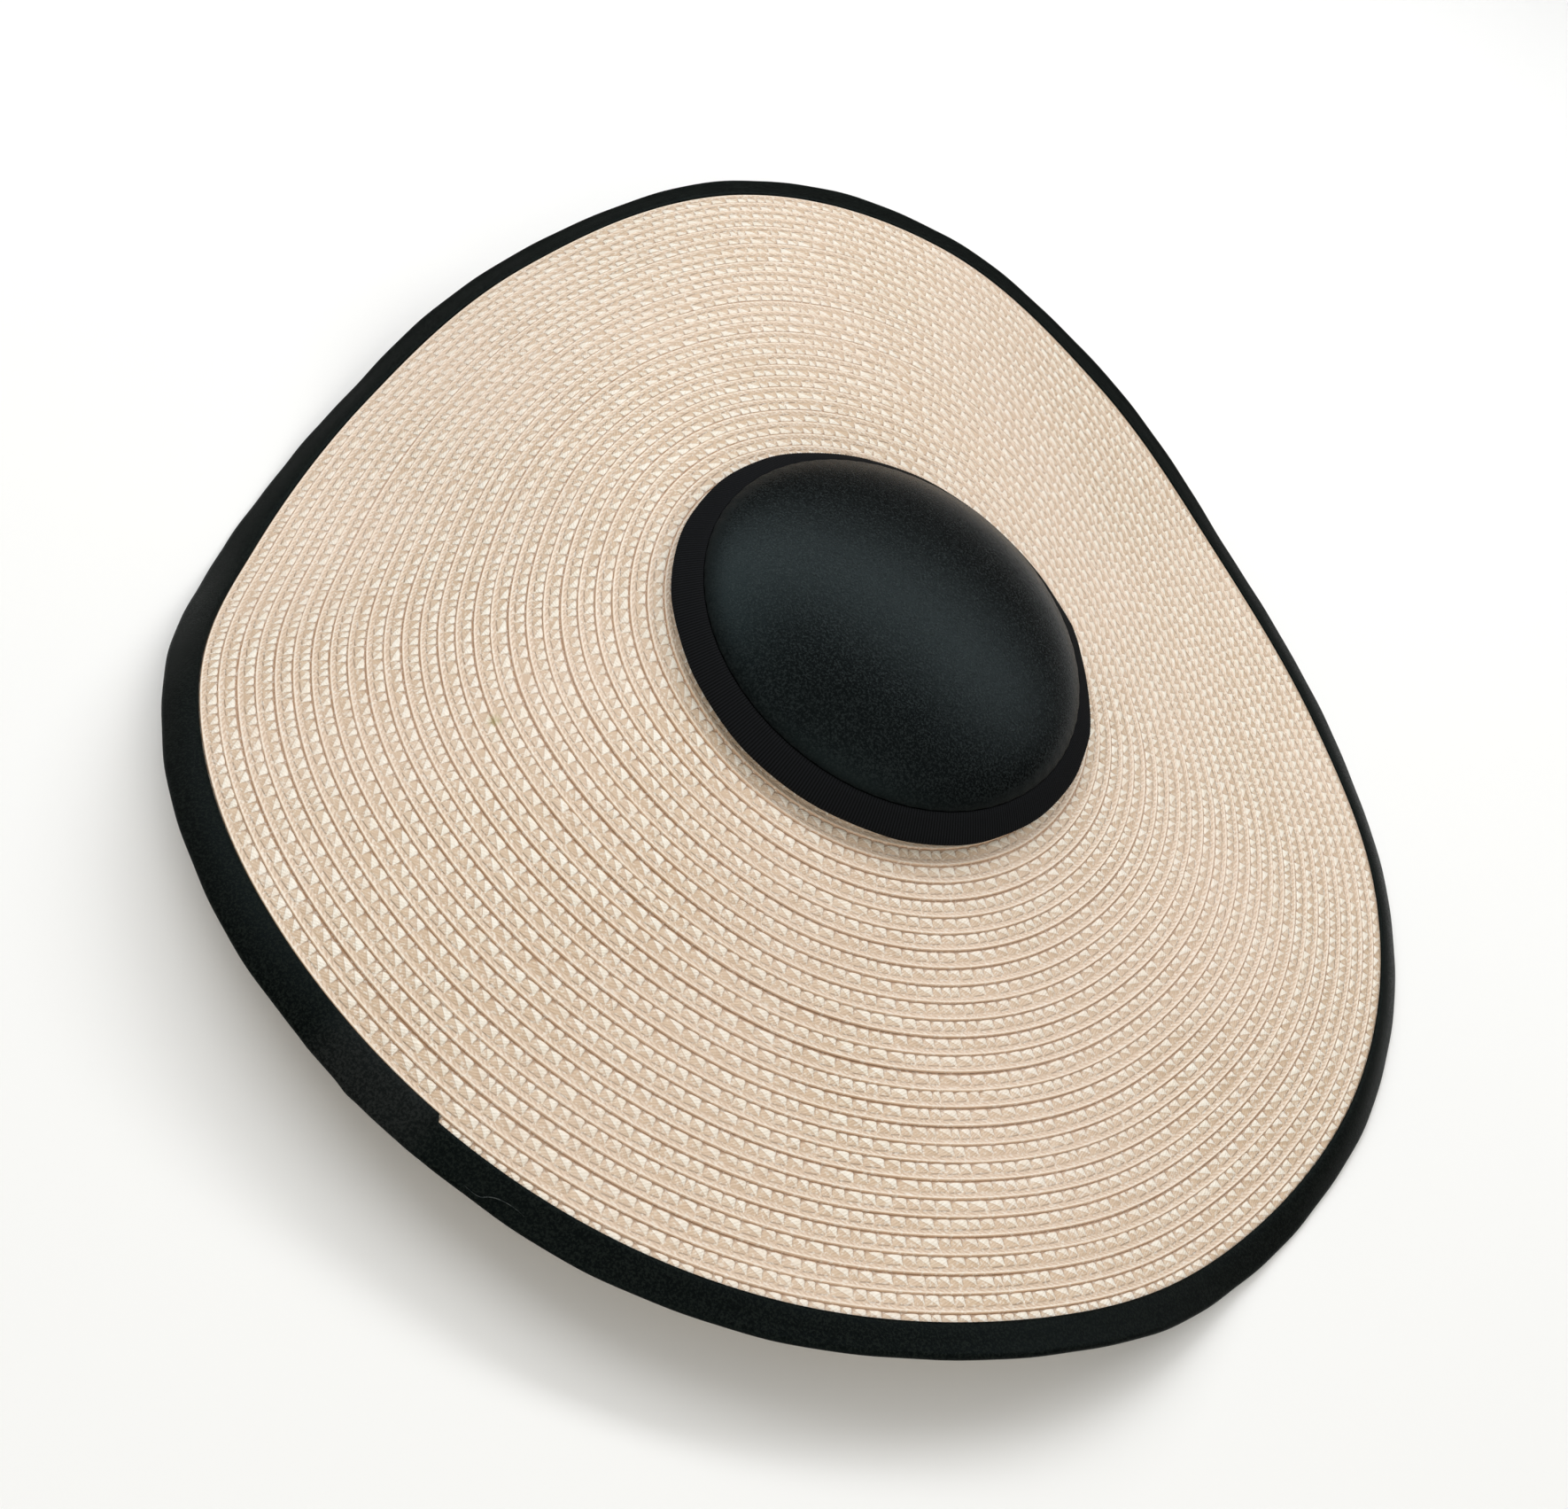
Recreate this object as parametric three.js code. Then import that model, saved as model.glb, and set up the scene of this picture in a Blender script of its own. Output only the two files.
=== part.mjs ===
// A wide-brimmed sun hat: a shallow satin cap with a ribbon round its edge, on a brim of
// straw braid whose edge is bound with a folded satin strip. Millimetres, +Z up, standing on its rim.
import * as THREE from 'three'

// Cap and its ribbon
const capRadius = 82
const domeHeight = 18
const crownWall = 2.6
const crownFlat = 14
const ribbonWidth = 11.2
const ribbonSlope = 38
const ribbonWall = 1.2
const ribbonHem = 6
const ribbonFold = 0.8

// Brim of braid
const brimWidth = 155
const brimWall = 1.4
const collarWidth = 9
const capOverhang = 2.8

// Satin strip folded over the outer edge: seen width, how far the braid reaches into it, and
// the wall of each layer
const edgeWidth = 11
const edgeCover = 5
const edgeWall = 0.9
const edgeFold = 0.5

// Space between pieces that are sewn together
const clearance = 0.3

// Facets round the hat, across the brim and from the cap's edge to its top
const aroundCount = 80
const brimCount = 12
const domeCount = 9
const liningCount = 6

// How the brim falls, in degrees below level, at three places across it: where it leaves the
// cap, midway and at its edge. The strip falls further or lifts by its own number. One row for
// each sixteenth of a turn, from +X towards +Y.
const slopes = [
  { cap: 8, midway: 7, edge: 10, strip: 12 },
  { cap: 14, midway: 9, edge: 9, strip: 12 },
  { cap: 19, midway: 14, edge: 8, strip: 6 },
  { cap: 18, midway: 15, edge: 8, strip: 0 },
  { cap: 10, midway: 9, edge: 7, strip: -6 },
  { cap: 3, midway: 2, edge: 8, strip: -8 },
  { cap: 2, midway: 4, edge: 16, strip: -6 },
  { cap: 3, midway: 20, edge: 32, strip: -8 },
  { cap: 11, midway: 34, edge: 37, strip: -3 },
  { cap: 24, midway: 35, edge: 29, strip: 2 },
  { cap: 21, midway: 22, edge: 20, strip: 6 },
  { cap: 7, midway: 13, edge: 18, strip: 6 },
  { cap: 3, midway: 9, edge: 17, strip: 0 },
  { cap: 9, midway: 6, edge: 3, strip: -6 },
  { cap: 13, midway: 3, edge: -4, strip: -8 },
  { cap: 11, midway: 8, edge: 5, strip: 2 }
]

const black = { satin: 0x15181c, ribbon: 0x0d0e10, strip: 0x121315 }
const straw = 0xe6cfb4

// Radius where the braid comes out from under the cap, at height zero before the hat is set down
const firstRowRadius = capRadius - capOverhang

// The brim

function smoothRoundTurn(column) {
  const points = slopes.map((row) => new THREE.Vector3(row[column], 0, 0))
  return new THREE.CatmullRomCurve3(points, true, 'catmullrom', 0.5)
}

const smoothSlopes = {
  cap: smoothRoundTurn('cap'),
  midway: smoothRoundTurn('midway'),
  edge: smoothRoundTurn('edge'),
  strip: smoothRoundTurn('strip')
}

// The brim's upper face along one azimuth, as a function of the distance outwards from the
// first row. Further in than that it is a collar that climbs under the cap.
function meridian(turn) {
  const cap = smoothSlopes.cap.getPoint(turn).x
  const midway = smoothSlopes.midway.getPoint(turn).x
  const edge = smoothSlopes.edge.getPoint(turn).x
  const strip = smoothSlopes.strip.getPoint(turn).x
  const fall = (distance) => {
    if (distance < 0) return THREE.MathUtils.degToRad(ribbonSlope)
    const share = Math.min(distance / brimWidth, 1)
    const inner = cap * (1 - share) * (1 - 2 * share)
    const middle = midway * 4 * share * (1 - share)
    const outer = edge * share * (2 * share - 1)
    const bend = 2 * strip * Math.max(distance - brimWidth, 0) / edgeWidth
    return THREE.MathUtils.degToRad(inner + middle + outer + bend)
  }
  return (distance) => {
    const steps = Math.ceil(Math.abs(distance)) + 1
    const step = distance / steps
    let radius = firstRowRadius
    let height = 0
    for (let i = 0; i < steps; i++) {
      const slope = fall((i + 0.5) * step)
      radius += Math.cos(slope) * step
      height -= Math.sin(slope) * step
    }
    return { radius, height, fall: fall(distance) }
  }
}

// Turns a closed outline, or one that starts and ends on the axis, round the hat's axis
function ring(outline) {
  const area = outline.reduce((sum, p, i) => {
    const q = outline[(i + 1) % outline.length]
    return sum + p.x * q.y - q.x * p.y
  }, 0)
  const ordered = area > 0 ? outline : [...outline].reverse()
  const closed = ordered.some((p) => p.x === 0) ? ordered : [...ordered, ordered[0]]
  const geometry = new THREE.LatheGeometry(closed, aroundCount)
  return geometry.rotateX(Math.PI / 2).rotateZ(Math.PI / 2)
}

// Lays a ring on the brim: an outline drawn flat, with x the distance outwards from the first
// row and y the rise above the brim's upper face, follows the brim's falls and lifts.
function laidOnBrim(outline) {
  const flat = outline.map((p) => new THREE.Vector2(p.x + firstRowRadius, p.y))
  const geometry = ring(flat)
  const meridians = Array.from({ length: aroundCount }, (_, i) => meridian(i / aroundCount))
  const position = geometry.attributes.position
  for (let i = 0; i < position.count; i++) {
    const angle = Math.atan2(position.getY(i), position.getX(i))
    const index = (Math.round(angle / (2 * Math.PI) * aroundCount) + aroundCount) % aroundCount
    const distance = Math.hypot(position.getX(i), position.getY(i)) - firstRowRadius
    const rise = position.getZ(i)
    const spot = meridians[index](distance)
    const radius = spot.radius + rise * Math.sin(spot.fall)
    const turn = 2 * Math.PI * index / aroundCount
    const height = spot.height + rise * Math.cos(spot.fall)
    position.setXYZ(i, radius * Math.cos(turn), radius * Math.sin(turn), height)
  }
  geometry.computeVertexNormals()
  return geometry
}

function brimOutline() {
  const across = [-collarWidth]
  for (let i = 0; i <= brimCount; i++) across.push(brimWidth * i / brimCount)
  across.push(brimWidth + edgeCover - clearance)
  const top = across.map((distance) => new THREE.Vector2(distance, 0))
  const underside = across.map((distance) => new THREE.Vector2(distance, -brimWall)).reverse()
  return [...top, ...underside]
}

// The strip holds the braid's edge between two layers and thins towards its own outer fold
function edgeOutline() {
  const over = clearance + edgeWall
  const under = -brimWall - over
  const middle = -brimWall / 2
  const inner = brimWidth
  const braidEnd = brimWidth + edgeCover
  const outer = brimWidth + edgeWidth
  const thinning = (braidEnd + outer) / 2
  return [
    new THREE.Vector2(inner, over),
    new THREE.Vector2(braidEnd, over),
    new THREE.Vector2(thinning, middle + 1.5 * edgeWall),
    new THREE.Vector2(outer - edgeFold, middle + edgeWall),
    new THREE.Vector2(outer, middle + edgeWall - edgeFold),
    new THREE.Vector2(outer, middle - edgeWall + edgeFold),
    new THREE.Vector2(outer - edgeFold, middle - edgeWall),
    new THREE.Vector2(thinning, middle - 1.5 * edgeWall),
    new THREE.Vector2(braidEnd, under),
    new THREE.Vector2(inner, under),
    new THREE.Vector2(inner, under + edgeWall),
    new THREE.Vector2(braidEnd, under + edgeWall),
    new THREE.Vector2(braidEnd, over - edgeWall),
    new THREE.Vector2(inner, over - edgeWall)
  ]
}

// The cap: its edge lies on the brim's collar, with the ribbon's hem between them

const slopeAngle = THREE.MathUtils.degToRad(ribbonSlope)
const ribbonDepth = 2 * ribbonWall + 2 * clearance + crownWall
const edgeRise = ribbonDepth + clearance
const edgeReach = (capOverhang - edgeRise * Math.sin(slopeAngle)) / Math.cos(slopeAngle)
const ribbonEdgeHeight = edgeRise * Math.cos(slopeAngle) - edgeReach * Math.sin(slopeAngle)

// A point of the cap's edge: how far inwards from the ribbon's outer edge and how far under it
function atRibbon(inwards, under) {
  const radius = capRadius - inwards * Math.cos(slopeAngle) - under * Math.sin(slopeAngle)
  const height = ribbonEdgeHeight + inwards * Math.sin(slopeAngle) - under * Math.cos(slopeAngle)
  return new THREE.Vector2(radius, height)
}

function ribbonOutline() {
  return [
    atRibbon(ribbonWidth, 0),
    atRibbon(ribbonFold, 0),
    atRibbon(0, ribbonFold),
    atRibbon(0, ribbonDepth - ribbonFold),
    atRibbon(ribbonFold, ribbonDepth),
    atRibbon(ribbonHem, ribbonDepth),
    atRibbon(ribbonHem, ribbonDepth - ribbonWall),
    atRibbon(ribbonWall, ribbonDepth - ribbonWall),
    atRibbon(ribbonWall, ribbonWall),
    atRibbon(ribbonWidth, ribbonWall)
  ]
}

// Half an oval from its rim to its top, without the top point
function dome(radius, rise, base, count, end) {
  const points = []
  for (let i = 0; i < count; i++) {
    const angle = end * i / (count - 1)
    points.push(new THREE.Vector2(radius * Math.cos(angle), base + rise * Math.sin(angle)))
  }
  return points
}

function crownOutline() {
  const covered = ribbonWall + clearance
  const seam = atRibbon(ribbonWidth + clearance, 0)
  const top = new THREE.Vector2(0, seam.y + domeHeight)
  const lastStep = Math.PI / 2 * (domeCount - 1) / domeCount
  const outside = dome(seam.x, domeHeight, seam.y, domeCount, lastStep)
  const innerRadius = seam.x - crownWall - ribbonWall
  const innerRise = domeHeight - crownWall
  const inside = dome(innerRadius, innerRise, seam.y, liningCount, Math.acos(crownFlat / innerRadius))
  const under = covered + crownWall
  const inwards = (capRadius - innerRadius - under * Math.sin(slopeAngle)) / Math.cos(slopeAngle)
  return [
    new THREE.Vector2(0, inside[liningCount - 1].y),
    ...inside.reverse(),
    atRibbon(inwards, under),
    atRibbon(covered, under),
    atRibbon(covered, covered),
    atRibbon(ribbonWidth + clearance, covered),
    ...outside,
    top
  ]
}

// The pieces

function piece(name, geometry, color, roughness) {
  const material = new THREE.MeshStandardMaterial({ color, roughness, metalness: 0 })
  const mesh = new THREE.Mesh(geometry, material)
  mesh.name = name
  return mesh
}

const hat = new THREE.Group()
hat.add(piece('crown', ring(crownOutline()), black.satin, 0.45))
hat.add(piece('crown_band', ring(ribbonOutline()), black.ribbon, 0.85))
hat.add(piece('brim', laidOnBrim(brimOutline()), straw, 0.6))
const strip = piece('edge_binding', laidOnBrim(edgeOutline()), black.strip, 0.5)
hat.add(strip)

// Setting the hat down

function centreOfMass(meshes) {
  const sum = new THREE.Vector3()
  const [a, b, c] = [new THREE.Vector3(), new THREE.Vector3(), new THREE.Vector3()]
  let volume = 0
  for (const { geometry } of meshes) {
    const index = geometry.index
    const position = geometry.attributes.position
    for (let i = 0; i < index.count; i += 3) {
      a.fromBufferAttribute(position, index.getX(i))
      b.fromBufferAttribute(position, index.getX(i + 1))
      c.fromBufferAttribute(position, index.getX(i + 2))
      const part = new THREE.Vector3().crossVectors(a, b).dot(c) / 6
      volume += part
      sum.add(a.add(b).add(c).multiplyScalar(part / 4))
    }
  }
  return sum.divideScalar(volume)
}

// The lowest point of a mesh on each azimuth
function rimPoints(mesh) {
  const position = mesh.geometry.attributes.position
  const lowest = []
  for (let i = 0; i < position.count; i++) {
    const point = new THREE.Vector3().fromBufferAttribute(position, i)
    const turn = Math.atan2(point.y, point.x) / (2 * Math.PI)
    const index = (Math.round(turn * aroundCount) + aroundCount) % aroundCount
    if (!lowest[index] || point.z < lowest[index].z) lowest[index] = point
  }
  return lowest
}

// Upward normal of the plane that three rim points stand on, with every other rim point on or
// above it and the centre of mass over the triangle between them
function standingNormal(rim, centre) {
  const tolerance = 1e-6
  for (let i = 0; i < rim.length; i++) {
    for (let j = i + 1; j < rim.length; j++) {
      for (let k = j + 1; k < rim.length; k++) {
        const triangle = new THREE.Triangle(rim[i], rim[j], rim[k])
        const normal = triangle.getNormal(new THREE.Vector3())
        const rests = rim.every((p) => normal.dot(p.clone().sub(rim[i])) > -tolerance)
        if (!rests) continue
        const plane = new THREE.Plane().setFromNormalAndCoplanarPoint(normal, rim[i])
        const foot = plane.projectPoint(centre, new THREE.Vector3())
        if (triangle.containsPoint(foot)) return normal
      }
    }
  }
  return new THREE.Vector3(0, 0, 1)
}

const up = standingNormal(rimPoints(strip), centreOfMass(hat.children))
hat.quaternion.setFromUnitVectors(up, new THREE.Vector3(0, 0, 1))
const box = new THREE.Box3().setFromObject(hat, true)
const middle = box.getCenter(new THREE.Vector3())
hat.position.set(-middle.x, -middle.y, -box.min.z)

const group = new THREE.Group()
group.add(hat)

export default group
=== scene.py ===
# Dresses the sun hat: sewn straw braid, black satin cap, ribbed ribbon and satin edge strip.
# Lengths are in millimetres in the hat's own frame, whose +Z is the cap's axis and whose height
# zero is where the braid leaves the cap. The hat frame is then set down as the CAD says.
import math

import bpy
import numpy as np
from mathutils import Matrix, Vector


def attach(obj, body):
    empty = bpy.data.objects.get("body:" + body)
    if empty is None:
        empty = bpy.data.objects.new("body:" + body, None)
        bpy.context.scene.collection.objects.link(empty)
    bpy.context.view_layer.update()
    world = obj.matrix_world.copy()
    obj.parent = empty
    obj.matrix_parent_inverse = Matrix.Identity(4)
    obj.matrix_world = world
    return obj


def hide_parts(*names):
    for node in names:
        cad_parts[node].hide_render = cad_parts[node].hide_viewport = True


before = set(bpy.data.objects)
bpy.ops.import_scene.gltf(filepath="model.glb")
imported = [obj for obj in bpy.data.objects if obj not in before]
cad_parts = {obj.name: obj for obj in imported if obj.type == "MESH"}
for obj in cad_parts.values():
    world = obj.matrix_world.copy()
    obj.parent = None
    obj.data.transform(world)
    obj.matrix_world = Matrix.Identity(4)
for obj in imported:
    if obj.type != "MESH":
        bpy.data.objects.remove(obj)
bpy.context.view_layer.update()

MM = 0.001
IMAGE_WIDTH, IMAGE_HEIGHT = 1770, 1703
rng = np.random.default_rng(7)

# Sizes of the solids that the pieces replace

CAP_RADIUS = 82.0
DOME_HEIGHT = 18.0
CROWN_WALL = 2.6
CROWN_FLAT = 14.0
RIBBON_WIDTH = 11.2
RIBBON_SLOPE = math.radians(38)
RIBBON_WALL = 1.2
RIBBON_HEM = 6.0
BRIM_WIDTH = 155.0
BRIM_WALL = 1.4
COLLAR_WIDTH = 9.0
CAP_OVERHANG = 2.8
EDGE_WIDTH = 11.0
EDGE_COVER = 5.0
EDGE_WALL = 0.9
CLEARANCE = 0.3
FIRST_ROW_RADIUS = CAP_RADIUS - CAP_OVERHANG

# How the brim falls, in degrees, at sixteenths of a turn from +X towards +Y
SLOPES = {
    "cap": (8, 14, 19, 18, 10, 3, 2, 3, 11, 24, 21, 7, 3, 9, 13, 11),
    "midway": (7, 9, 14, 15, 9, 2, 4, 20, 34, 35, 22, 13, 9, 6, 3, 8),
    "edge": (10, 9, 8, 8, 7, 8, 16, 32, 37, 29, 20, 18, 17, 3, -4, 5),
    "strip": (12, 12, 6, 0, -6, -8, -6, -8, -3, 2, 6, 6, 0, -6, -8, 2),
}

# Braid: the rows' pitch and a leaf's length, the turn at which the braid is cut off, and where its
# last and first ridges lie
ROW_PITCH = 5.8
TOOTH_PITCH = 4.8
STEPS_PER_TOOTH = 5
BRAID_END_TURN = 267 / 360
LAST_RIDGE = 153.0
BRAID_START = -1.5

# Edge strip: where its ends overlap, and how many weave numbers lie round the hat
JOIN_START, JOIN_END = 256 / 360, 268 / 360
STRIP_WEAVE = 1500


# The hat's place in the frame, measured on the cap


def hat_matrix():
    """Where the hat frame stands: the cap's axis and top point give it."""
    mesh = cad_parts["crown"].data
    points = np.array([v.co for v in mesh.vertices], float)
    spread = np.cov((points - points.mean(0)).T)
    axis = np.linalg.eigh(spread)[1][:, 0]
    axis = axis if axis[2] > 0 else -axis
    top = points[np.argmax(points @ axis)]
    seam = at_ribbon(RIBBON_WIDTH + CLEARANCE, 0)
    origin = Vector(top) - Vector(axis) * (seam[1] + DOME_HEIGHT) * MM
    turn = Vector((0, 0, 1)).rotation_difference(Vector(axis)).to_matrix().to_4x4()
    return Matrix.Translation(origin) @ turn


def at_ribbon(inwards, under):
    """(radius, height) of a point of the cap's edge, from the ribbon's outer edge."""
    depth = 2 * RIBBON_WALL + 2 * CLEARANCE + CROWN_WALL
    rise = depth + CLEARANCE
    reach = (CAP_OVERHANG - rise * math.sin(RIBBON_SLOPE)) / math.cos(RIBBON_SLOPE)
    edge_height = rise * math.cos(RIBBON_SLOPE) - reach * math.sin(RIBBON_SLOPE)
    radius = CAP_RADIUS - inwards * math.cos(RIBBON_SLOPE) - under * math.sin(RIBBON_SLOPE)
    height = edge_height + inwards * math.sin(RIBBON_SLOPE) - under * math.cos(RIBBON_SLOPE)
    return radius, height


HAT = hat_matrix()


def to_frame(points):
    """Hat-frame millimetres to metres in the shared frame."""
    turn = np.array(HAT.to_3x3())
    return points * MM @ turn.T + np.array(HAT.translation)


# The brim's surface


def round_turn(values, turn):
    """Closed smooth curve through evenly spaced values, at a share of a turn."""
    values = np.asarray(values, float)
    place = (np.asarray(turn) % 1.0) * len(values)
    i = np.floor(place).astype(int)
    w = place - i
    a, b, c, d = (values[(i + k) % len(values)] for k in (-1, 0, 1, 2))
    start, end = (c - a) / 2, (d - b) / 2
    return (2 * b - 2 * c + start + end) * w**3 + (3 * c - 3 * b - 2 * start - end) * w**2 + start * w + b


# Distances from the first row, and steps round the hat, at which the surface is worked out
GRID_STEP = 0.5
GRID_OUT = np.arange(-10, 168, GRID_STEP)
GRID_TURNS = 720


def brim_grid():
    """Radius, height and fall of the brim's upper face, by distance from the first row and turn."""
    turn = np.arange(GRID_TURNS) / GRID_TURNS
    cap, midway, edge, strip = (round_turn(SLOPES[k], turn)[None] for k in SLOPES)

    def fall(distance):
        share = np.clip(distance / BRIM_WIDTH, 0, 1)[:, None]
        flat = cap * (1 - share) * (1 - 2 * share) + midway * 4 * share * (1 - share)
        flat = flat + edge * share * (2 * share - 1)
        bend = 2 * strip * np.clip(distance - BRIM_WIDTH, 0, None)[:, None] / EDGE_WIDTH
        steep = np.degrees(RIBBON_SLOPE) + 0 * flat
        return np.radians(np.where(distance[:, None] < 0, steep, flat + bend))

    middle = fall(GRID_OUT[:-1] + GRID_STEP / 2)
    zero = np.argmin(np.abs(GRID_OUT))
    radius = np.vstack([0 * cap, np.cumsum(np.cos(middle) * GRID_STEP, 0)])
    height = np.vstack([0 * cap, -np.cumsum(np.sin(middle) * GRID_STEP, 0)])
    return radius - radius[zero] + FIRST_ROW_RADIUS, height - height[zero], fall(GRID_OUT)


BRIM_GRID = brim_grid()


def on_brim(distance, turn, rise):
    """Hat-frame points at a distance from the first row, a share of a turn and a rise above."""
    row = (np.asarray(distance) - GRID_OUT[0]) / GRID_STEP
    column = (np.asarray(turn) % 1.0) * GRID_TURNS
    i = np.clip(np.floor(row).astype(int), 0, len(GRID_OUT) - 2)
    j = np.floor(column).astype(int)
    wi, wj = row - i, column - j
    j, k = j % GRID_TURNS, (j + 1) % GRID_TURNS
    radius, height, fall = (
        (g[i, j] * (1 - wj) + g[i, k] * wj) * (1 - wi) + (g[i + 1, j] * (1 - wj) + g[i + 1, k] * wj) * wi
        for g in BRIM_GRID
    )
    radius = radius + rise * np.sin(fall)
    height = height + rise * np.cos(fall)
    angle = 2 * math.pi * np.asarray(turn)
    return np.stack([radius * np.cos(angle), radius * np.sin(angle), height], -1)


# Making pieces

# Share of each sheet's width in the unrolled layout that stays empty at its edge, and that is used
SHEET_EDGE, SHEET_USED = 0.02, 0.96


def grid_mesh(name, points, corners):
    """A smooth mesh of four-cornered faces over a grid of points."""
    long, wide = points.shape[:2]
    faces = np.stack([(a % long) * wide + b % wide for a, b in corners], -1).reshape(-1, 4)
    mesh = bpy.data.meshes.new(name)
    mesh.vertices.add(long * wide)
    mesh.vertices.foreach_set("co", to_frame(points.reshape(-1, 3)).astype(np.float32).ravel())
    mesh.loops.add(faces.size)
    mesh.loops.foreach_set("vertex_index", faces.astype(np.int32).ravel())
    mesh.polygons.add(len(faces))
    mesh.polygons.foreach_set("loop_start", np.arange(0, faces.size, 4, dtype=np.int32))
    mesh.polygons.foreach_set("loop_total", np.full(len(faces), 4, np.int32))
    mesh.polygons.foreach_set("use_smooth", np.ones(len(faces), bool))
    mesh.update(calc_edges=True)
    return mesh


def add_layout(mesh, name, ends):
    """A texture layout, from the two numbers at each of the faces' four corners."""
    flat = np.stack([np.stack([u, v], -1) for u, v in ends], -2)
    mesh.uv_layers.new(name=name).data.foreach_set("uv", flat.astype(np.float32).ravel())


def grid_piece(name, points, texture, material, nodes=(), around=False, across=False, sheets=1):
    """A piece from a grid of points: along it, then across. texture holds (along, across) numbers
    for the material. around and across close the grid. sheets is how many lengths it is cut into
    for an unrolled layout."""
    long, wide = points.shape[:2]
    cols = long if around else long - 1
    rows = wide if across else wide - 1
    i, j = np.meshgrid(np.arange(cols), np.arange(rows), indexing="ij")
    corners = [(i, j), (i + 1, j), (i + 1, j + 1), (i, j + 1)]
    mesh = grid_mesh(name, points, corners)
    along, over = texture
    add_layout(mesh, "weave", [(along[a], over[b]) for a, b in corners])
    per_sheet = math.ceil(cols / sheets)
    sheet = i // per_sheet
    add_layout(mesh, "OFBake", [
        ((a - sheet * per_sheet) / per_sheet, (sheet + SHEET_EDGE + SHEET_USED * b / rows) / sheets)
        for a, b in corners
    ])
    mesh.uv_layers["weave"].active_render = True
    mesh.materials.append(material)
    mesh.validate()
    piece = bpy.data.objects.new(name, mesh)
    bpy.context.scene.collection.objects.link(piece)
    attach(piece, "root")
    if nodes:
        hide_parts(*nodes)
    return piece


def turned(profile, count, wave=None):
    """Points of a profile of (radius, height) turned round the axis. wave gives what to add to
    both, for each turn and point."""
    turn = np.arange(count) / count
    radius = np.array([p[0] for p in profile])[None] + 0 * turn[:, None]
    height = np.array([p[1] for p in profile])[None] + 0 * turn[:, None]
    if wave is not None:
        push = wave(turn)
        radius = radius + push[..., 0]
        height = height + push[..., 1]
    angle = 2 * math.pi * turn[:, None]
    return np.stack([radius * np.cos(angle), radius * np.sin(angle), height], -1)


# Materials

# One turn in radians, as the shader's sine takes it
FULL_TURN = 2 * math.pi
# Colour of the dust on the doubled strip
DUST = (0.0165, 0.0170, 0.0165)


class Nodes:
    """A short hand for building one node material."""

    def __init__(self, name):
        self.material = bpy.data.materials.new(name)
        self.material.use_nodes = True
        self.tree = self.material.node_tree
        self.shader = self.tree.nodes["Principled BSDF"]

    def link(self, value, socket):
        if isinstance(value, (int, float)):
            socket.default_value = value
        elif isinstance(value, tuple):
            if len(value) == 3 and len(socket.default_value) == 4:
                value = (*value, 1.0)
            socket.default_value = value
        else:
            self.tree.links.new(value, socket)

    def math(self, kind, a, b=0.0, c=0.0):
        node = self.tree.nodes.new("ShaderNodeMath")
        node.operation = kind
        for value, socket in zip((a, b, c), node.inputs):
            self.link(value, socket)
        return node.outputs[0]

    def weave(self):
        node = self.tree.nodes.new("ShaderNodeUVMap")
        node.uv_map = "weave"
        split = self.tree.nodes.new("ShaderNodeSeparateXYZ")
        self.tree.links.new(node.outputs[0], split.inputs[0])
        return split.outputs[0], split.outputs[1]

    def place(self):
        return self.tree.nodes.new("ShaderNodeTexCoord").outputs["Object"]

    def noise(self, vector, scale, detail=2.0, roughness=0.5):
        node = self.tree.nodes.new("ShaderNodeTexNoise")
        self.tree.links.new(vector, node.inputs["Vector"])
        node.inputs["Scale"].default_value = scale
        node.inputs["Detail"].default_value = detail
        node.inputs["Roughness"].default_value = roughness
        return node.outputs["Fac"]

    def combine(self, x, y, z=0.0):
        node = self.tree.nodes.new("ShaderNodeCombineXYZ")
        for value, socket in zip((x, y, z), node.inputs):
            self.link(value, socket)
        return node.outputs[0]

    def wave(self, value):
        """Sine that repeats each time the value grows by one."""
        return self.math("SINE", self.math("MULTIPLY", value, FULL_TURN))

    def times(self, a, b):
        return self.math("MULTIPLY", a, b)

    def white_noise(self, value):
        node = self.tree.nodes.new("ShaderNodeTexWhiteNoise")
        node.noise_dimensions = "1D"
        self.link(value, node.inputs["W"])
        return node.outputs["Value"]

    def distance(self, vector, point):
        node = self.tree.nodes.new("ShaderNodeVectorMath")
        node.operation = "DISTANCE"
        self.link(vector, node.inputs[0])
        self.link(tuple(float(c) for c in point), node.inputs[1])
        return node.outputs["Value"]

    def ramp(self, value, stops):
        node = self.tree.nodes.new("ShaderNodeValToRGB")
        elements = node.color_ramp.elements
        while len(elements) < len(stops):
            elements.new(0.5)
        for element, (position, color) in zip(elements, stops):
            element.position = position
            color = (color,) * 3 if isinstance(color, (int, float)) else color
            element.color = (*color, 1.0)
        self.tree.links.new(value, node.inputs[0])
        return node.outputs[0]

    def mix(self, share, a, b, kind="MIX"):
        node = self.tree.nodes.new("ShaderNodeMix")
        node.data_type = "RGBA"
        node.blend_type = kind
        self.link(share, node.inputs["Factor"])
        self.link(a, node.inputs[6])
        self.link(b, node.inputs[7])
        return node.outputs[2]

    def bump(self, height, distance, strength=1.0, before=None):
        node = self.tree.nodes.new("ShaderNodeBump")
        node.inputs["Distance"].default_value = distance
        node.inputs["Strength"].default_value = strength
        self.tree.links.new(height, node.inputs["Height"])
        if before is not None:
            self.tree.links.new(before, node.inputs["Normal"])
        return node.outputs[0]

    def finish(self, **sockets):
        for name, value in sockets.items():
            self.link(value, self.shader.inputs[name.replace("_", " ")])
        return self.material


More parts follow.
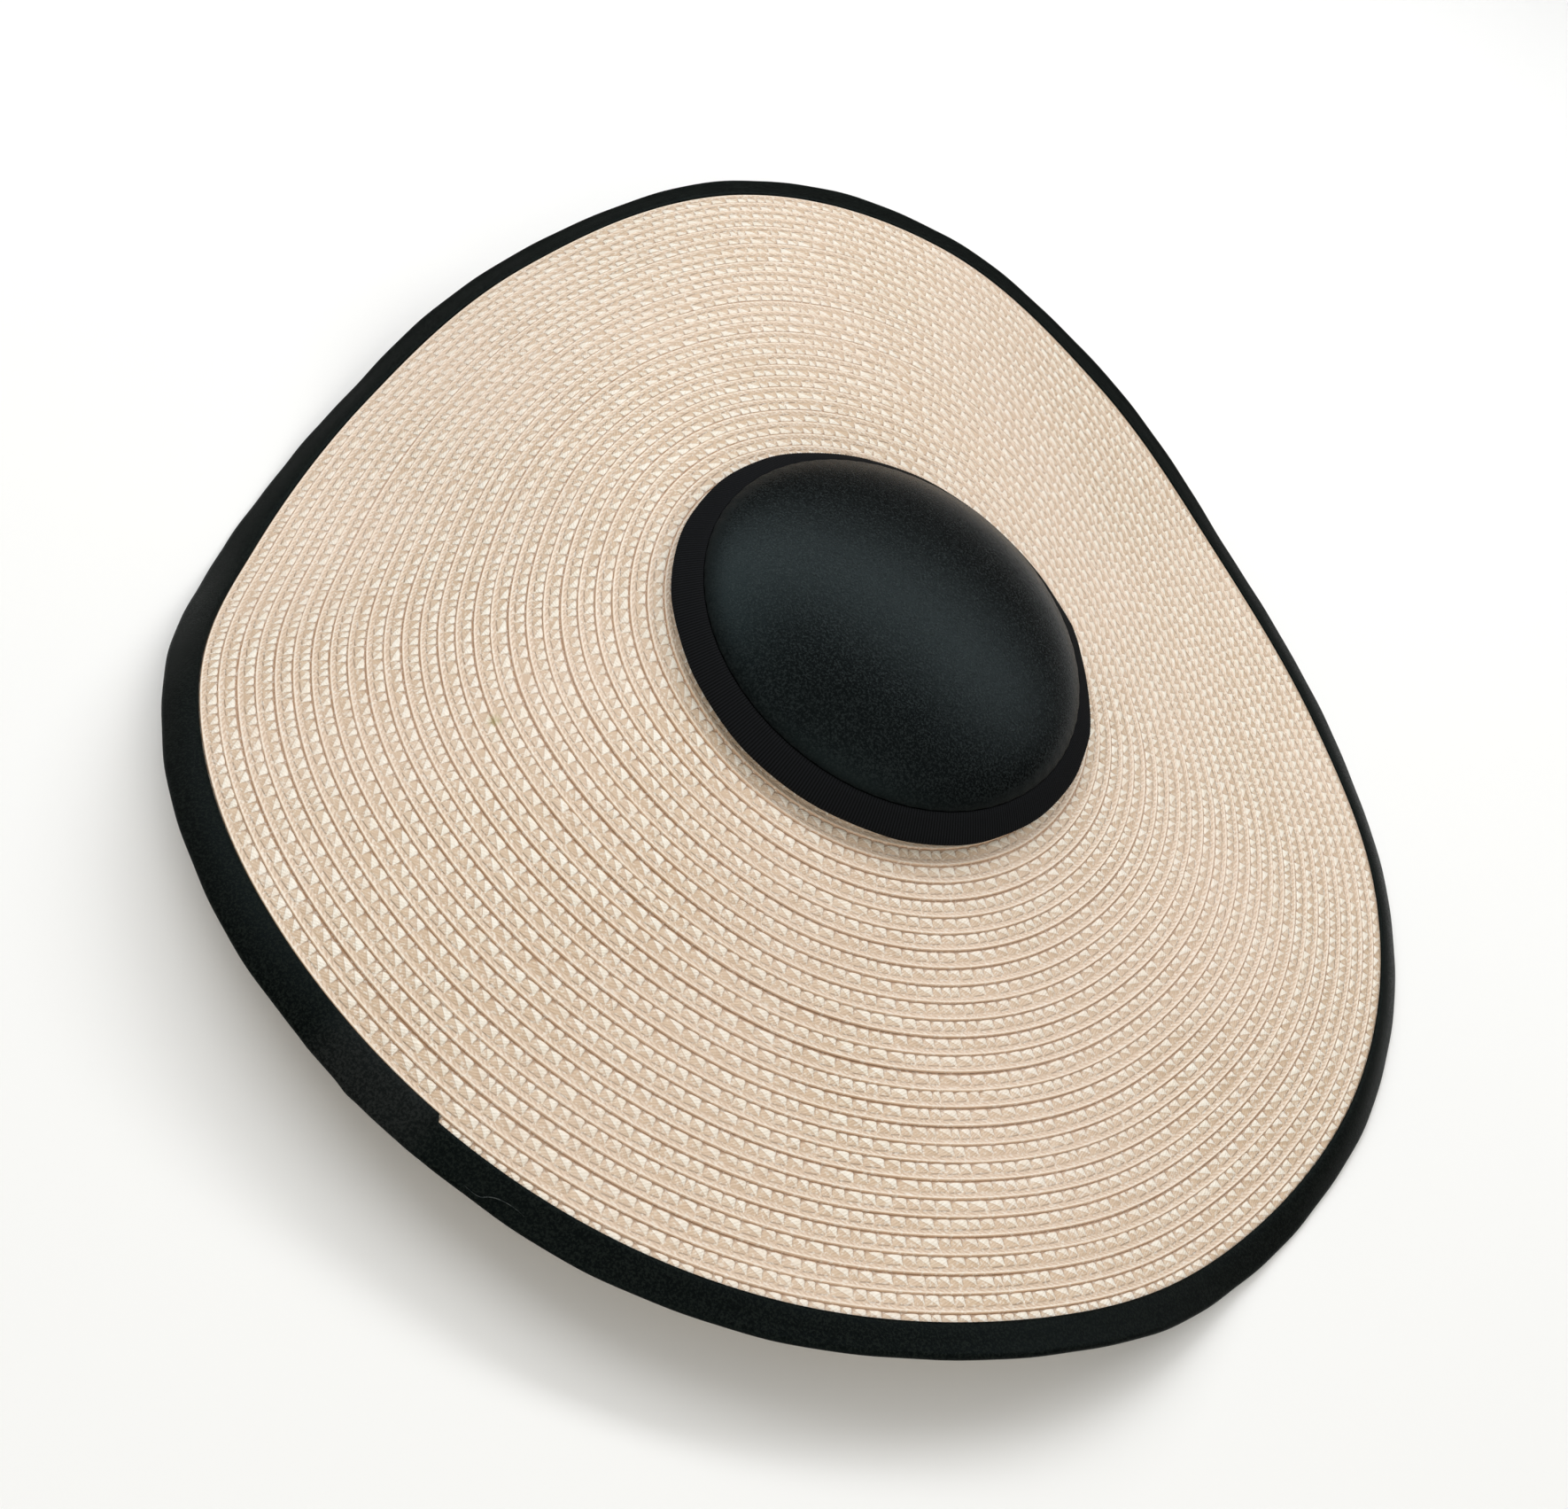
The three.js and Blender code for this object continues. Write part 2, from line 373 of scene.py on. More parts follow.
def srgb(r, g, b):
    """A colour given 0 to 255, as the linear numbers that a shader takes."""
    return tuple((c / 255 / 12.92) if c <= 10 else ((c / 255 + 0.055) / 1.055) ** 2.4 for c in (r, g, b))


# What lies over a row's own colour: how strongly it shows, and its colour
STRAW_MARKS = {
    # Painted shade on the strands that turn away from the light
    "turned leaf shade": (0.60, srgb(206, 179, 152)),
    # Painted shade in the gaps between the leaves' tops, under the ridge of the row before
    "shaded_gap": (0.60, srgb(160, 124, 96)),
    # Painted shade where one leaf ends and the next begins
    "shaded leaf end": (0.60, srgb(158, 124, 98)),
    # Painted shade in the crease between a leaf's lit face and its turned strands
    "fold": (0.48, srgb(170, 134, 108)),
    # The stitches, partly painted shade in their groove
    "shaded_stitch": (0.80, srgb(146, 124, 104)),
    # Painted shade on one side of each twisted strand of the cord
    "cord shade": (0.34, srgb(178, 142, 114)),
    # Painted highlight on the other side of each twisted strand
    "cord highlight": (0.26, srgb(250, 238, 224)),
    "strand": (0.10, srgb(196, 166, 136)),
    "grain": (0.20, srgb(204, 174, 146)),
    # Painted glints: bright specks that stand in for the straw's shine
    "painted_glint": (0.40, srgb(255, 253, 246)),
    "patch": (0.22, srgb(240, 217, 200)),
    "stain": (0.92, srgb(178, 168, 114)),
}
LEAF_HIGHLIGHT = srgb(255, 252, 243)


def marked(n, color, mark, mask, contrast=1.0):
    """The colour with a mark laid over it where the mask is."""
    share, mark_color = STRAW_MARKS[mark]
    return n.mix(n.times(mask, share * contrast), color, mark_color)


def row_color(n, over, chance, in_leaves):
    """The colour from a row's inner edge to its outer edge: painted shade at both edges and on the cord's
    slope, a painted highlight along the cord's top, and a tint for each leaf.
    """
    # Painted shade at the inner edge, under the ridge of the row before, and at the outer edge, at the
    # ridge's foot; painted shade on the cord's slope from 0.60 to 0.81, and a painted highlight along its
    # top at 0.89
    body = n.ramp(over, [
        (0.0, srgb(190, 152, 118)), (0.05, srgb(214, 186, 156)), (0.12, srgb(242, 231, 214)),
        (0.50, srgb(237, 224, 206)), (0.60, srgb(216, 194, 170)), (0.70, srgb(215, 191, 166)),
        (0.81, srgb(220, 195, 170)), (0.89, srgb(251, 238, 221)), (0.95, srgb(230, 200, 170)),
        (1.0, srgb(186, 146, 112)),
    ])
    tint = n.ramp(chance, [
        (0.0, srgb(226, 208, 186)), (0.3, srgb(240, 226, 206)), (0.55, srgb(246, 234, 222)),
        (0.8, srgb(252, 246, 234)), (1.0, srgb(255, 253, 246)),
    ])
    return n.mix(n.times(in_leaves, 0.85), body, n.mix(1.0, body, tint, "MULTIPLY"))


def leaf_faces(n, color, leaf, over, chance, in_leaves, contrast):
    """Three-cornered leaves lightened by a painted highlight, and between them strands that turn away,
    darkened by painted shade. Gives the colour, and how near the fold between the two is."""
    split = n.math("MULTIPLY_ADD", chance, 0.10, n.math("MULTIPLY_ADD", leaf, 0.52, 0.01))
    turned_away = n.math("SUBTRACT", over, split)
    lit = n.math("MULTIPLY_ADD", n.math("FRACT", n.times(chance, 7.3)), 0.28, 0.50)
    edge = n.math("MULTIPLY_ADD", turned_away, 4.0, 0.5)
    back = n.times(n.ramp(edge, [(0.44, 0.0), (0.58, 1.0)]), in_leaves)
    front = n.math("SUBTRACT", in_leaves, back)
    # Where the fold's painted shade lies
    fold = n.times(n.ramp(n.math("ABSOLUTE", turned_away), [(0.004, 1.0), (0.030, 0.0)]), in_leaves)
    # Painted highlight on the leaves' faces, of a strength that changes from leaf to leaf
    color = n.mix(n.times(front, lit), color, LEAF_HIGHLIGHT)
    # Painted shade on the strands that turn away
    return marked(n, color, "turned leaf shade", back, contrast), fold


def leaf_gaps(n, leaf, over, chance, in_leaves):
    """Painted shade: in the gaps between the leaves' tops, under the ridge of the row before, at a leaf's
    end, and along a broken line of stitches, which is partly the stitches and partly painted shade in
    their groove.
    """
    # Painted shade under the ridge of the row before, between the leaves' tops
    arch = n.math("POWER", n.math("ABSOLUTE", n.math("SUBTRACT", leaf, 0.62)), 2.0)
    top = n.math("SUBTRACT", n.math("ADD", n.times(arch, 0.50), 0.03), over)
    shaded_gap = n.ramp(n.math("MULTIPLY_ADD", top, 8.0, 0.5), [(0.35, 0.0), (0.65, 1.0)])
    # Painted shade at each leaf's end
    end = n.ramp(leaf, [(0.0, 1.0), (0.05, 0.5), (0.10, 0.0), (0.94, 0.0), (1.0, 1.0)])
    end = n.times(n.times(end, in_leaves), n.ramp(over, [(0.40, 1.0), (0.52, 0.0)]))
    # The stitches, darkened partly as painted shade in their groove
    line = n.math("MULTIPLY_ADD", leaf, -0.06, 0.65)
    shaded_stitch = n.math("ABSOLUTE", n.math("SUBTRACT", over, line))
    dash = n.ramp(leaf, [(0.06, 0.0), (0.16, 1.0), (0.80, 1.0), (0.90, 0.0)])
    shaded_stitch = n.times(n.ramp(shaded_stitch, [(0.016, 1.0), (0.050, 0.0)]), dash)
    shaded_stitch = n.times(shaded_stitch, n.ramp(chance, [(0.1, 0.25), (0.5, 1.0)]))
    return shaded_gap, end, shaded_stitch


def cord_twist(n, leaf, over):
    """The cord: two strands for each leaf, twisted the other way. Gives its painted shade, on one side of
    each strand, and its painted highlight, on the other.
    """
    in_cord = n.ramp(over, [(0.64, 0.0), (0.69, 1.0), (0.84, 1.0), (0.91, 0.0)])
    twist = n.wave(n.math("ADD", n.times(leaf, 2.0), n.times(over, -4.0)))
    # Painted shade and painted highlight on the twisted strands
    dark = n.times(n.ramp(twist, [(0.35, 0.0), (0.95, 1.0)]), in_cord)
    light = n.times(n.ramp(n.times(twist, -1.0), [(0.1, 0.0), (0.9, 1.0)]), in_cord)
    return dark, light


def straw_material(name, contrast=1.0, spot=None):
    """Pale plaited straw: leaves on the inner side of a row, a cord on the outer side. spot is the
    place of a small stain."""
    n = Nodes(name)
    along, over = n.weave()
    number = n.math("FLOOR", along)
    leaf = n.math("SUBTRACT", 1.0, n.math("FRACT", along))
    chance = n.white_noise(number)
    in_leaves = n.ramp(over, [(0.03, 0.0), (0.08, 1.0), (0.56, 1.0), (0.64, 0.0)])
    color = row_color(n, over, chance, in_leaves)
    color, fold = leaf_faces(n, color, leaf, over, chance, in_leaves, contrast)
    shaded_gap, end, shaded_stitch = leaf_gaps(n, leaf, over, chance, in_leaves)
    dark, light = cord_twist(n, leaf, over)
    # The painted shade of the gaps, leaf ends, fold, stitches and cord, laid over the colour
    masks = {"shaded_gap": shaded_gap, "shaded leaf end": end, "fold": fold, "shaded_stitch": shaded_stitch, "cord shade": dark}
    for mark, mask in masks.items():
        color = marked(n, color, mark, mask, contrast)
    # Painted highlight on the cord's strands
    color = marked(n, color, "cord highlight", light)

    # Strands, bright specks of painted glint and slow drifts of colour
    strand = n.times(n.wave(n.math("ADD", n.times(leaf, 3.0), n.times(over, 5.5))), in_leaves)
    grain = n.noise(n.combine(n.times(along, 2.0), n.times(over, 11.0)), 2.0, 2)
    painted_glint = n.noise(n.combine(n.times(along, 2.2), n.times(over, 3.0), number), 1.9, 1)
    patch = n.noise(n.place(), 11, 1)
    color = marked(n, color, "strand", n.ramp(strand, [(0.0, 0.0), (1.0, 1.0)]))
    color = marked(n, color, "grain", n.ramp(grain, [(0.40, 1.0), (0.56, 0.0)]))
    # Painted glints over the straw
    color = marked(n, color, "painted_glint", n.ramp(painted_glint, [(0.55, 0.0), (0.66, 1.0)]))
    color = marked(n, color, "patch", n.ramp(patch, [(0.40, 0.0), (0.66, 1.0)]))
    if spot is not None:
        near = n.math("MULTIPLY_ADD", grain, 0.0016, n.distance(n.place(), spot))
        color = marked(n, color, "stain", n.ramp(near, [(0.0018, 1.0), (0.0034, 0.0)]))
    height = n.math("ADD", n.times(strand, 0.22), n.times(grain, 0.9))
    height = n.math("SUBTRACT", height, n.math("ADD", n.times(shaded_gap, 1.2), n.times(shaded_stitch, 0.9)))
    height = n.math("SUBTRACT", height, n.math("ADD", n.times(end, 0.8), n.times(dark, 0.5)))
    n.shader.inputs["Specular IOR Level"].default_value = 0.6
    rough = n.ramp(grain, [(0.3, 0.30), (0.7, 0.52)])
    return n.finish(Base_Color=color, Roughness=rough, Normal=n.bump(height, 0.00022, 0.75))


def satin_material(name, lines, base, gloss, dull, join=None, seam=None):
    """Black satin: fine weave with a speckled gloss, and bright specks in its colour as painted glints.
    lines is how many threads cross for each weave number. join is where a second layer lies, by
    the first weave number: there the cloth is lighter, with dust on it. seam is where it is
    puckered, by the second weave number: there it is darker, as painted shade, and duller."""
    n = Nodes(name)
    along, over = n.weave()
    fine = n.noise(n.place(), 3600, 2, 0.7)
    speck = n.noise(n.place(), 1200, 2, 0.75)
    cloud = n.noise(n.place(), 26, 3)
    threads = n.wave(n.math("ADD", n.times(along, lines), n.times(over, 9.0)))

    def shade(times):
        return tuple(c * times for c in base)

    # Bright specks painted into the colour: painted glints of the satin's sheen
    color = n.mix(n.ramp(speck, [(0.47, 0.0), (0.60, 1.0)]), base, shade(7.0))
    color = n.mix(n.times(cloud, 0.4), color, shade(1.5))
    if join:
        first, last = join
        middle, reach = (first + last) / 2, (last - first) / 2
        inside = n.math("DIVIDE", n.math("ABSOLUTE", n.math("SUBTRACT", along, middle)), reach)
        inside = n.ramp(inside, [(0.55, 1.0), (1.0, 0.0)])
        dust = n.times(inside, n.ramp(speck, [(0.45, 0.25), (0.60, 0.85)]))
        color = n.mix(dust, color, DUST)
    rough = n.ramp(speck, [(0.38, dull - 0.09), (0.62, dull + 0.12)])
    if seam:
        near_seam = n.math("DIVIDE", n.math("SUBTRACT", over, seam[0]), seam[1] - seam[0])
        near_seam = n.ramp(near_seam, [(0.0, 1.0), (1.0, 0.0)])
        # Painted shade near the seam, where the dome meets its ribbon
        color = n.mix(n.times(near_seam, 0.6), color, shade(0.3))
        rough = n.math("MULTIPLY_ADD", near_seam, 0.45, rough)
    height = n.math("ADD", n.times(threads, 0.10), n.math("ADD", fine, n.times(speck, 1.6)))
    normal = n.bump(height, 0.00012, 0.5)
    normal = n.bump(cloud, 0.0010, 0.25, normal)
    n.shader.inputs["Specular IOR Level"].default_value = gloss
    n.shader.inputs["Specular Tint"].default_value = (0.62, 0.94, 1.0, 1.0)
    return n.finish(Base_Color=color, Roughness=rough, Normal=normal)


def ribbon_material():
    """Matt black ribbed ribbon: its ribs lie across it, with fine fuzz over them. The ribs' tops carry a
    painted highlight and the hollows between them painted shade.
    """
    n = Nodes("ribbon_ribbed")
    along = n.weave()[0]
    rib = n.math("ABSOLUTE", n.math("SUBTRACT", n.math("FRACT", along), 0.5))
    fuzz = n.noise(n.place(), 1900, 3, 0.7)
    crest = n.ramp(rib, [(0.15, 1.0), (0.45, 0.0)])
    # Painted highlight on the ribs' tops, painted shade in the hollows between them
    color = n.mix(crest, (0.0005, 0.0006, 0.0008), (0.0100, 0.0110, 0.0130))
    color = n.mix(n.times(fuzz, 0.35), color, (0.009, 0.0095, 0.0105))
    height = n.math("ADD", n.times(rib, -1.0), n.times(fuzz, 0.5))
    rough = n.ramp(fuzz, [(0.3, 0.7), (0.7, 0.9)])
    n.shader.inputs["Specular IOR Level"].default_value = 0.06
    return n.finish(Base_Color=color, Roughness=rough, Normal=n.bump(height, 0.00018, 0.7))


STAIN = to_frame(on_brim(66.0, 235.7 / 360, 0.0))
STRAW = straw_material("straw_braid", spot=STAIN)
STRAW_UNDER = straw_material("straw_underside", 0.8)
SATIN = satin_material("cap_satin", 0.0, (0.0020, 0.0024, 0.0024), 0.102, 0.17, seam=(8.5, 12.5))
EDGE_SATIN = satin_material(
    "edge_satin", 3.0, (0.0013, 0.0016, 0.0013), 0.055, 0.40,
    join=(JOIN_START * STRIP_WEAVE, JOIN_END * STRIP_WEAVE),
)
THREAD = satin_material("thread_dark", 3.0, (0.009, 0.0095, 0.009), 0.2, 0.5)
RIBBON = ribbon_material()


# The braid: one spiral, whose rows lie like shingles, each ridge over the next row's leaves

# Place across a row, rise in millimetres, and the share of a leaf's rise that is added there at
# the five steps of its length
ROW_SECTION = [
    (-0.14, -0.50, (0, 0, 0, 0, 0)),
    (0.05, -0.26, (0, 0.20, 0.45, 0.60, 0.60)),
    (0.13, -0.16, (0, 0.45, 0.80, 0.95, 1.00)),
    (0.25, -0.11, (0, 0.15, 0.65, 1.00, 1.10)),
    (0.37, -0.08, (0.10, 0, 0.25, 0.70, 1.00)),
    (0.48, -0.06, (0.35, 0.25, 0.05, 0.20, 0.60)),
    (0.57, -0.10, (0.20, 0.35, 0.30, 0.10, 0)),
    (0.66, 0.04, (0.05, 0, 0.15, 0.15, 0)),
    (0.79, 0.24, (0, 0, 0, 0, 0)),
    (0.89, 0.50, (0, 0, 0, 0, 0)),
    (0.955, 0.50, (0, 0, 0, 0, 0)),
    (0.99, -0.26, (0, 0, 0, 0, 0)),
]
LEAF_RISE = 0.50
# Where the cord lies across a row
CORD_START, CORD_END = 0.6, 0.98
BRAID_PIECES = 4


def slow_noise(places, spacing, amount):
    """Smooth random numbers along a line of places."""
    knots = np.arange(places[0], places[-1] + 3 * spacing, spacing)
    return np.interp(places, knots, rng.normal(0, amount, len(knots)))


def braid_rows():
    """Turn, distance of the row's outer edge and leaf count, along the whole spiral."""
    turns = (LAST_RIDGE - BRAID_START) / ROW_PITCH + 1
    fine = np.linspace(0, turns, int(turns * 360))
    outer = LAST_RIDGE - ROW_PITCH * (turns - 1 - fine)
    turn = BRAID_END_TURN + (turns - fine)
    middle = on_brim(outer - ROW_PITCH / 2, turn, 0 * fine)
    length = np.concatenate([[0], np.cumsum(np.linalg.norm(np.diff(middle, axis=0), axis=1))])
    leaves = int(length[-1] / TOOTH_PITCH)
    sizes = np.clip(rng.normal(1, 0.17, leaves) + slow_noise(np.arange(leaves), 40, 0.06), 0.6, 1.5)
    ends = np.concatenate([[0], np.cumsum(sizes)]) / sizes.sum() * length[-1]
    teeth = np.arange(leaves * STEPS_PER_TOOTH + 1) / STEPS_PER_TOOTH
    even = np.interp(teeth, np.arange(leaves + 1), ends)
    return np.interp(even, length, turn), np.interp(even, length, outer), teeth


def make_braid():
    turn, outer, teeth = braid_rows()
    across = np.array([p[0] for p in ROW_SECTION])
    rise = np.array([p[1] for p in ROW_SECTION])
    relief = np.array([p[2] for p in ROW_SECTION]).T
    step = (-np.arange(len(teeth))) % STEPS_PER_TOOTH
    number = np.floor(teeth).astype(int)
    chance = np.clip(rng.normal(1.0, 0.24, number.max() + 2), 0.4, 1.7)[number][:, None]
    lift = rise[None] + LEAF_RISE * relief[step] * chance
    cord = ((across > CORD_START) & (across < CORD_END))[None]
    lift = lift + cord * slow_noise(teeth, 7, 0.045)[:, None]
    place = outer[:, None] + (across[None] - 1) * ROW_PITCH + slow_noise(teeth, 26, 0.14)[:, None]
    place = place + (~cord) * slow_noise(teeth, 2.5, 0.05)[:, None] * (across > 0)[None]
    points = on_brim(place, turn[:, None] + 0 * place, lift)
    span = math.ceil((len(teeth) - 1) / BRAID_PIECES / STEPS_PER_TOOTH) * STEPS_PER_TOOTH
    for k in range(BRAID_PIECES):
        part = slice(k * span, min((k + 1) * span, len(teeth) - 1) + 1)
        grid_piece(
            "braid_rows_%d" % (k + 1), points[part], (teeth[part], across), STRAW,
            ("brim",), sheets=34,
        )


# The layer under the rows: its upper face, its rows from below as place across a row and depth
# in millimetres, and the radius halfway out, which sets the leaves' length there
CORE_TOP = -0.72
ROW_COUNT = 27
UNDER_SECTION = ((0.0, 1.05), (0.22, 1.42), (0.62, 1.30), (0.90, 1.42))
MIDDLE_RADIUS = 157


def make_brim_core():
    """The layer that the rows are sewn to: its rows show on the underside."""
    count = 420
    edge = BRIM_WIDTH + EDGE_COVER - CLEARANCE
    top = [(-COLLAR_WIDTH, 0.0), (BRAID_START, 0.0), (BRAID_START + 0.4, CORE_TOP)]
    top += [(d, CORE_TOP) for d in np.linspace(8, edge, 13)]
    rows = []
    for row in range(ROW_COUNT):
        for share, drop in UNDER_SECTION:
            rows.append((edge - row * ROW_PITCH - share * ROW_PITCH, -drop, share))
    under = rows + [(-COLLAR_WIDTH * 0.4, -BRIM_WALL, 0.5), (-COLLAR_WIDTH, -BRIM_WALL, 0.5)]
    distance = np.array([p[0] for p in top] + [p[0] for p in under])
    rise = np.array([p[1] for p in top] + [p[1] for p in under])
    over = np.array([0.3] * len(top) + [p[2] for p in under])
    turn = np.arange(count)[:, None] / count
    points = on_brim(distance[None] + 0 * turn, turn + 0 * distance[None], rise[None] + 0 * turn)
    along = np.arange(count + 1) / count * 2 * math.pi * MIDDLE_RADIUS / TOOTH_PITCH
    grid_piece(
        "brim_underside", points[:, ::-1], (along, np.append(over[::-1], over[-1])), STRAW_UNDER,
        ("brim",), around=True, across=True, sheets=6,
    )


# The cap and its ribbon

# 1.0 makes the dome's section an ellipse; above that it is less steep at the seam
DOME_POWER = 1.4
# A turned surface ends this far from the axis
POLE_RADIUS = 0.05


def dome_section(radius, height, base, last, count):
    """(radius, height) points of a dome, from its seam up to an angle."""
    angles = np.linspace(0, last, count)
    return [(radius * math.cos(a), base + height * math.sin(a) ** DOME_POWER) for a in angles]


# Puckers at the cap's seam: how many, how deep and how far in they reach
PUCKER_COUNT, PUCKER_DEPTH, PUCKER_REACH = 64, 0.10, 3.5
CROWN_STEPS = 288


def crown_profile():
    """(radius, height) points from the middle of the inside, round the flange, to the dome's top,
    and how many of them are the dome's outside."""
    covered = RIBBON_WALL + CLEARANCE
    seam = at_ribbon(RIBBON_WIDTH + CLEARANCE, 0)
    inner = seam[0] - CROWN_WALL - RIBBON_WALL
    under = covered + CROWN_WALL
    reach = (CAP_RADIUS - inner - under * math.sin(RIBBON_SLOPE)) / math.cos(RIBBON_SLOPE)
    outside = dome_section(seam[0], DOME_HEIGHT, seam[1], math.pi / 2, 44)[:-1]
    outside.append((POLE_RADIUS, seam[1] + DOME_HEIGHT))
    last = math.acos(CROWN_FLAT / inner)
    inside = dome_section(inner, DOME_HEIGHT - CROWN_WALL, seam[1], last, 22)
    inside.append((POLE_RADIUS, inside[-1][1]))
    flange = [
        at_ribbon(reach, under), at_ribbon(covered, under), at_ribbon(covered, covered),
        at_ribbon(RIBBON_WIDTH + CLEARANCE, covered),
    ]
    return inside[::-1] + flange + outside, len(outside)


def make_crown():
    profile, outside = crown_profile()
    radius = np.array([p[0] for p in profile])
    seam = radius[-outside]
    seen = np.arange(len(profile)) >= len(profile) - outside

    def wave(turn):
        """Puckers at the seam, and slow swells of the satin further in."""
        near = np.exp(-((seam - radius) / PUCKER_REACH) ** 2) * seen
        bunching = 2.0 * np.sin(2 * math.pi * 5 * turn)
        pucker = PUCKER_DEPTH * np.sin(2 * math.pi * PUCKER_COUNT * turn + bunching)
        swell = 0.35 * np.sin(2 * math.pi * 2 * turn + 0.7) + 0.2 * np.sin(2 * math.pi * 3 * turn + 2)
        body = np.clip(radius / seam, 0, 1) ** 2 * (1 - near) * seen
        push = np.zeros((len(turn), len(profile), 2))
        push[..., 0] = pucker[:, None] * near[None]
        push[..., 1] = swell[:, None] * body[None] * 0.6
        return push

    over = np.linspace(0, 22, len(profile))
    grid_piece(
        "cap_dome", turned(profile, CROWN_STEPS, wave), (np.arange(CROWN_STEPS + 1) / 4, over), SATIN,
        ("crown",), around=True, sheets=2,
    )


# Corners of the ribbon's outline: degrees round the cap, millimetres out, degrees each way
RIBBON_KINKS = ((19, 1.0, 9), (53, 1.2, 9), (290, -0.3, 20))


RIB_COUNT, RIB_STEPS, RIB_HEIGHT = 470, 4, 0.10
RIBBON_BULGE = 0.18


def ribbon_section():
    """Points round the ribbon's section: inwards from its outer edge, depth, and the shares of the
    ribs and of the outline's waves that show there."""
    depth = 2 * RIBBON_WALL + 2 * CLEARANCE + CROWN_WALL

    def face(inwards):
        return inwards, -RIBBON_BULGE * math.sin(math.pi * inwards / RIBBON_WIDTH)

    return [
        (RIBBON_WIDTH, RIBBON_WALL, 0, 0), (RIBBON_WIDTH, 0.25, 0, 0), (RIBBON_WIDTH - 0.25, 0.0, 0.6, 0),
        (*face(8.4), 1, 0), (*face(5.6), 1, 0.2), (*face(2.8), 1, 0.6),
        (0.8, 0.0, 1, 1), (0.22, 0.25, 0.8, 1), (0.0, 0.8, 0.6, 1),
        (0.0, depth - 0.8, 0.6, 0.6), (0.8, depth, 0.6, 0.4), (RIBBON_HEM, depth, 0, 0),
        (RIBBON_HEM, depth - RIBBON_WALL, 0, 0), (RIBBON_WALL, depth - RIBBON_WALL, 0, 0),
        (RIBBON_WALL, RIBBON_WALL, 0, 0),
    ]


def ribbon_outline(turn):
    """How far the ribbon's edge stands out from a circle, by share of a turn."""
    kink = 0
    for centre, push_out, reach in RIBBON_KINKS:
        away = np.abs((turn - centre / 360 + 0.5) % 1 - 0.5) * 360
        kink = kink + push_out * np.clip(1 - away / reach, 0, 1)
    return 0.25 * np.sin(2 * math.pi * 7 * turn + 1) + 0.15 * np.sin(2 * math.pi * 17 * turn) + kink


def make_ribbon():
    section = ribbon_section()
    profile = [at_ribbon(inwards, depth) for inwards, depth, *_ in section]
    ribbed = np.array([p[2] for p in section])
    loose = np.array([p[3] for p in section])

    def wave(turn):
        rib = RIB_HEIGHT * np.cos(2 * math.pi * RIB_COUNT * turn)
        lift = rib[:, None] * ribbed[None]
        out = ribbon_outline(turn)[:, None] * loose[None]
        push = np.zeros((len(turn), len(profile), 2))
        push[..., 0] = lift * math.sin(RIBBON_SLOPE) + out * math.cos(RIBBON_SLOPE)
        push[..., 1] = lift * math.cos(RIBBON_SLOPE)
        return push

    count = RIB_COUNT * RIB_STEPS
    over = np.linspace(0, 1, len(profile) + 1)
    grid_piece(
        "ribbon_band", turned(profile, count, wave), (np.arange(count + 1) / RIB_STEPS, over), RIBBON,
        ("crown_band",), around=True, across=True, sheets=5,
    )


# The strip round the edge

# Where the join's outer edge stands out, and where a crease runs across it
NOTCH_TURN = 261.2 / 360
CREASE_TURN = 260 / 360
# The join's second layer, and the degrees over which it comes and goes
JOIN_THICKNESS, JOIN_SLANT = 0.38, 1.2
# Height in millimetres, waves round the hat, and place of each ripple
RIPPLES = ((0.30, 9, 0.1), (0.16, 23, 0.4), (0.08, 57, 0.7))
STRIP_STEPS = 1000


def strip_section():
    """Points round the strip's section: distance, rise, and 1 where it is the upper side."""
    over = CLEARANCE + EDGE_WALL
    middle = -BRIM_WALL / 2
    braid_end = BRIM_WIDTH + EDGE_COVER
    outer = BRIM_WIDTH + EDGE_WIDTH
    top = [
        (BRIM_WIDTH, over - EDGE_WALL), (BRIM_WIDTH - 0.15, over - 0.45), (BRIM_WIDTH + 0.1, over - 0.1),
        (BRIM_WIDTH + 1.2, over + 0.05), (BRIM_WIDTH + 3.4, over), (braid_end + 0.8, over - 0.25),
        (braid_end + 2.6, middle + 1.35), (braid_end + 4.4, middle + 1.15), (outer - 0.6, middle + 0.95),
        (outer - 0.12, middle + 0.5), (outer, middle),
    ]
    below = [(d, 2 * middle - r) for d, r in top[::-1][1:]]
    channel = [(braid_end, -BRIM_WALL - CLEARANCE), (braid_end, CLEARANCE)]
    distance, rise = np.array(top + below + channel).T
    seen = np.arange(len(distance)) < len(top)
    return distance[None], rise[None], seen[None]


